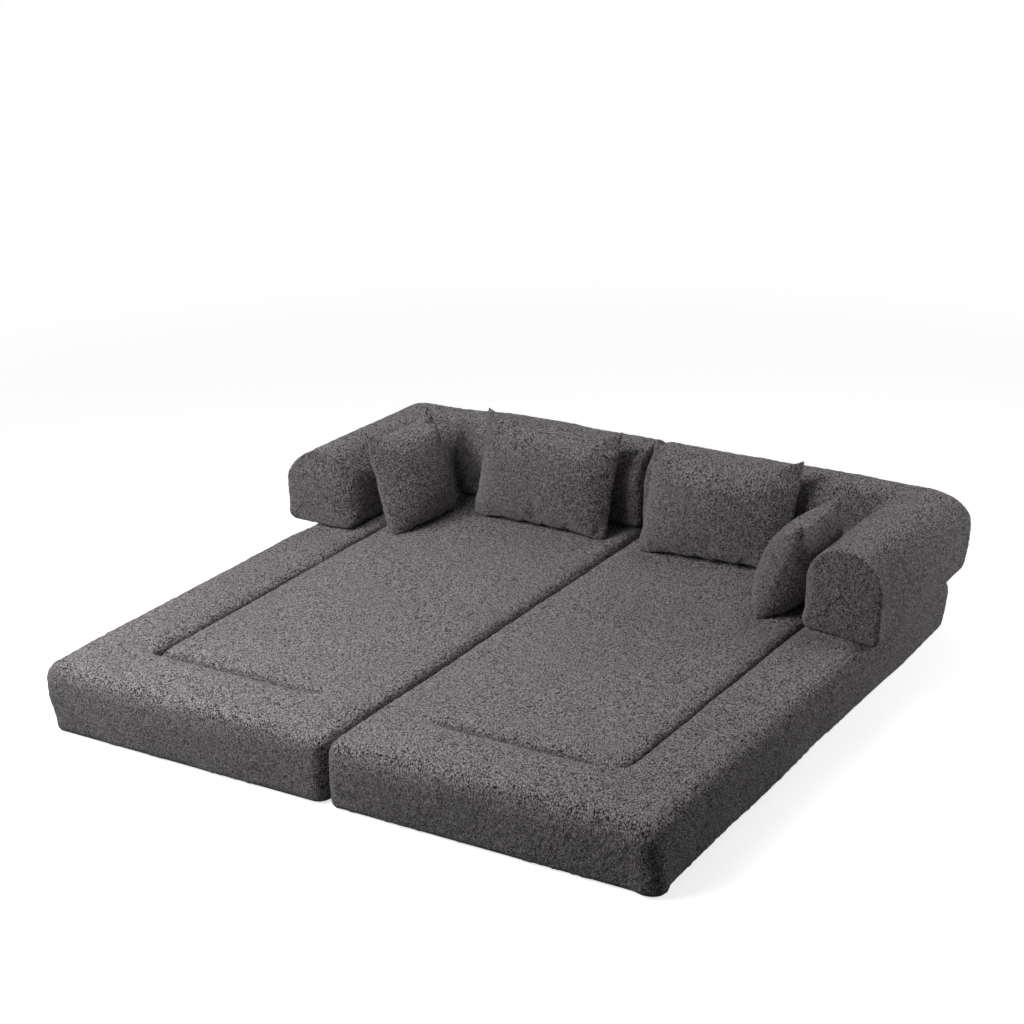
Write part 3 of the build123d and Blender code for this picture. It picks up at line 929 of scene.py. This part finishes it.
def pillowSheets(v, width, fullness):
    # Two sheets joined at the edge: the outline pulls in between its corners, the thickness falls to nothing there
    across = int(round(width / v["step"]))
    up = int(round(v["height"] / v["step"]))
    a, b = np.meshgrid(np.linspace(-1, 1, across + 1), np.linspace(-1, 1, up + 1), indexing="ij")
    half = width / 2 * (1 - v["sidePull"] * (1 - b ** 2))
    drawn = np.sin(math.pi / 2 * np.clip((1 - np.abs(a)) / v["sagShare"], 0, 1))
    x = a * half
    y = v["footSag"] * drawn + (v["height"] - (v["footSag"] + v["headSag"]) * drawn) * (b + 1) / 2
    ear = np.where(b > 0, *v["ear"]) * np.abs(a * b) ** np.where(b > 0, *v["earPower"])
    fromTip = (1 - np.abs(a)) * half + (1 - np.abs(b)) * v["height"] / 2
    blunt = v["blunt"] * np.exp(-fromTip / v["bluntReach"])
    x, y = x + np.sign(a) * (v["earAcross"] * ear - blunt), y + np.sign(b) * (ear - blunt)
    one, two = 1 - np.abs(a) ** v["domePower"], 1 - np.abs(b) ** v["domePower"]
    dome = (one * two) ** v["edgeFall"] * (1 - v["earFullness"])
    dome = (dome + v["earFullness"] * np.minimum(one, two) ** v["edgeFall"]) * (1 - v["slump"] * b)
    front = fullness[0] * v["frontBelly"] * dome
    back = -fullness[1] * v["backBelly"] * dome
    edge = (np.abs(a) == 1) | (np.abs(b) == 1)
    first = np.arange(a.size).reshape(a.shape)
    second = np.where(edge, first, first + a.size)
    points = np.concatenate([np.stack([x, y, f], axis=-1).reshape(-1, 3) for f in (front, back)])
    quads = np.concatenate([gridQuads(first), gridQuads(second)[:, ::-1]])
    used = np.zeros(len(points), dtype=bool)
    used[quads.ravel()] = True
    number = np.cumsum(used) - 1
    return points[used], number[quads], np.flatnonzero(edge.ravel())


def plump(piece, v, seam):
    # The cloth is blown up a little from inside while its seam is held, and no point moves further than it may
    start = readPoints(piece)
    held = piece.vertex_groups.new(name="seam")
    held.add(seam.tolist(), 1.0, "REPLACE")
    cloth = piece.modifiers.new("cloth", "CLOTH")
    cloth.collision_settings.use_collision = False
    how = cloth.settings
    how.vertex_group_mass = held.name
    how.quality, how.mass = 5, 0.3
    how.tension_stiffness = how.compression_stiffness = v["stretch"]
    how.shear_stiffness, how.bending_stiffness = v["shear"], v["bending"]
    how.tension_damping = how.compression_damping = how.shear_damping = v["damping"]
    how.air_damping = 4
    how.use_pressure, how.uniform_pressure_force = True, v["pressure"]
    how.shrink_min = -v["spare"]
    how.effector_weights.gravity = 0
    for number in range(1, v["frames"] + 1):
        bpy.context.scene.frame_set(number)
    ready = piece.evaluated_get(bpy.context.evaluated_depsgraph_get())
    points = np.empty(len(ready.data.vertices) * 3)
    ready.data.vertices.foreach_get("co", points)
    shift = points.reshape(-1, 3) - start
    length = np.linalg.norm(shift, axis=1)[:, None]
    shift *= np.minimum(1, v["mostMoved"] / np.maximum(length, 1e-9))
    piece.modifiers.clear()
    piece.vertex_groups.clear()
    bpy.context.scene.frame_set(1)
    writePoints(piece, start + shift)


def refine(piece, seam):
    # One level of subdivision, made part of the mesh, with the seam kept sharp
    ends = np.empty(len(piece.data.edges) * 2, dtype=np.int32)
    piece.data.edges.foreach_get("vertices", ends)
    sharp = np.isin(ends.reshape(-1, 2), seam).all(axis=1).astype(np.float32)
    piece.data.attributes.new("crease_edge", "FLOAT", "EDGE").data.foreach_set("value", sharp)
    finer = piece.modifiers.new("finer", "SUBSURF")
    finer.levels = finer.render_levels = 1
    ready = piece.evaluated_get(bpy.context.evaluated_depsgraph_get())
    mesh = bpy.data.meshes.new_from_object(ready)
    piece.modifiers.clear()
    coarse = piece.data
    piece.data = mesh
    bpy.data.meshes.remove(coarse)


def turned(a, b, degrees):
    cosine, sine = math.cos(math.radians(degrees)), math.sin(math.radians(degrees))
    return a * cosine - b * sine, a * sine + b * cosine


def standPillow(v, points, place, frontY):
    # Its foot swells below the seam, then it is tipped sideways, leant back, turned, set down flat and moved
    x, y, z = points.T
    y = y - place["droop"] * smooth(np.abs(z) / v["droopFrom"]) * smooth(1 - y / v["droopHeight"])
    x, y = turned(x, y, place["roll"])
    y, z = turned(y, z, 90 - place["lean"])
    x, y = turned(x, y, place["turn"])
    z = np.maximum(z - z.min() - v["pressed"], 0) + v["stand"]
    return np.stack([x + place["x"], y + frontY + place["y"], z], axis=-1)


def pillow(name):
    v, place = pillowShape, pillowPlaces[name]
    points, quads, seam = pillowSheets(v, place["width"], place["full"])
    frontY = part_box("right_base_cover")[0][1]
    piece = addPiece(name.replace("_", " ").title().replace(" ", "") + "Pillow", points, quads)
    plump(piece, v, seam)
    refine(piece, seam)
    points = readPoints(piece)
    spots = points + (place["x"], place["y"], v["noiseHeight"])
    edge = np.clip(np.abs(points[:, 2]) / v["waveEdge"], 0, 1)
    lift = v["wave"] * edge * layeredNoise(spots, v["waveCells"]) + v["pile"] * layeredNoise(spots, v["pileCells"])
    moved = points + readNormals(piece) * lift[:, None]
    writePoints(piece, standPillow(v, moved, place, frontY))
    dress(piece, name + "_pillow", [name + "_pillow_cover", name + "_pillow_filling"])


for side in sides:
    baseCover(side)
    print(side, "base cover made")
    bolsterCover(side)
    print(side, "bolster cover made")
for name in pillowPlaces:
    pillow(name)
print("pillows made")


# CAD pieces that stay

finishOf = {
    "bottom_cloth": "grip",
    "zip_slider": "metal",
    "zip": "tape",
    "strips": "hooks",
    "patches": "hooks",
}


def dressNodes():
    for name, node in frame["nodes"].items():
        for ending, finish in finishOf.items():
            if name.endswith(ending):
                node.data.materials.clear()
                node.data.materials.append(finishes[finish])
                break


dressNodes()
print("CAD pieces dressed")


# Floor, light and background

studio = {
    "floorSize": 12,
    "floorSeen": 0.9,
    "floorLift": 0.74,  # glow that the camera alone sees, so the pale floor stays pale
    "floorBounce": 0.12,
    "floorSolid": 2.2,  # metres from the middle where the floor starts to fade out
    "floorFade": 2.6,
    "worldStrength": 0.06,
    "aim": (-0.1, -0.1, 0.2),
    "lamps": {  # power in watts, width of the soft box, place
        "keyLamp": (54, 0.8, (-2.0, -2.3, 3.0)),
        "frontLamp": (28, 1.0, (-1.3, -3.2, 2.2)),
        "seatLamp": (12, 1.0, (-0.5, -1.5, 2.1)),
        "sideLamp": (30, 2.0, (2.9, 2.0, 1.0)),
        "rearLamp": (12, 2.0, (0.3, 2.6, 3.0)),
    },
}


def addFloor(v):
    # Pale to the camera, darker to the light that would come back up at the cloth
    half = v["floorSize"] / 2
    grid = np.linspace(-half, half, 9)
    a, b = np.meshgrid(grid, grid, indexing="ij")
    points = np.stack([a, b, 0 * a], axis=-1).reshape(-1, 3)
    piece = addPiece("floor", points, gridQuads(np.arange(a.size).reshape(a.shape)))
    material, wire, surface = startMaterial("paleFloor")
    seen = wire.node("ShaderNodeLightPath", output="Is Camera Ray")
    level = wire.node("ShaderNodeCombineColor", None, {
        k: seen * (v["floorSeen"] - v["floorBounce"]) + v["floorBounce"] for k in ("Red", "Green", "Blue")})
    glow = wire.node("ShaderNodeCombineColor", None, {k: seen * v["floorLift"] for k in ("Red", "Green", "Blue")})
    feed(level, surface, "Base Color")
    feed(glow, surface, "Emission Color")
    surface.inputs["Emission Strength"].default_value = 1
    surface.inputs["Roughness"].default_value = 0.9
    place = wire.node("ShaderNodeTexCoord", output="Object")
    away = wire.node("ShaderNodeVectorMath", {"operation": "LENGTH"}, {0: place}, output="Value")
    feed(1 - away.within(v["floorSolid"], v["floorSolid"] + v["floorFade"]), surface, "Alpha")
    piece.data.materials.append(material)


def addLamp(name, power, size, place, aim):
    data = bpy.data.lights.new(name, "AREA")
    data.shape, data.size, data.energy = "DISK", size, power
    lamp = bpy.data.objects.new(name, data)
    towards = Vector(aim) - Vector(place)
    lamp.visible_camera = False
    lamp.matrix_world = Matrix.Translation(place) @ towards.to_track_quat("-Z", "Y").to_matrix().to_4x4()
    bpy.context.scene.collection.objects.link(lamp)


def addWorld(v):
    world = bpy.data.worlds.new("studioWorld")
    world.use_nodes = True
    tree = world.node_tree
    background = tree.nodes["Background"]
    background.inputs["Color"].default_value = (1, 1, 1, 1)
    wire = Wire(tree)
    seen = wire.node("ShaderNodeLightPath", output="Is Camera Ray")
    feed(seen * (1 - v["worldStrength"]) + v["worldStrength"], background, "Strength")
    bpy.context.scene.world = world


addFloor(studio)
for name, (power, size, place) in studio["lamps"].items():
    addLamp(name, power, size, place, studio["aim"])
addWorld(studio)
bpy.context.scene.view_settings.view_transform = "Standard"
print("studio lit")

faceCount = sum(len(o.data.polygons) for o in bpy.data.objects if o.type == "MESH")
print("faces in the scene:", faceCount)
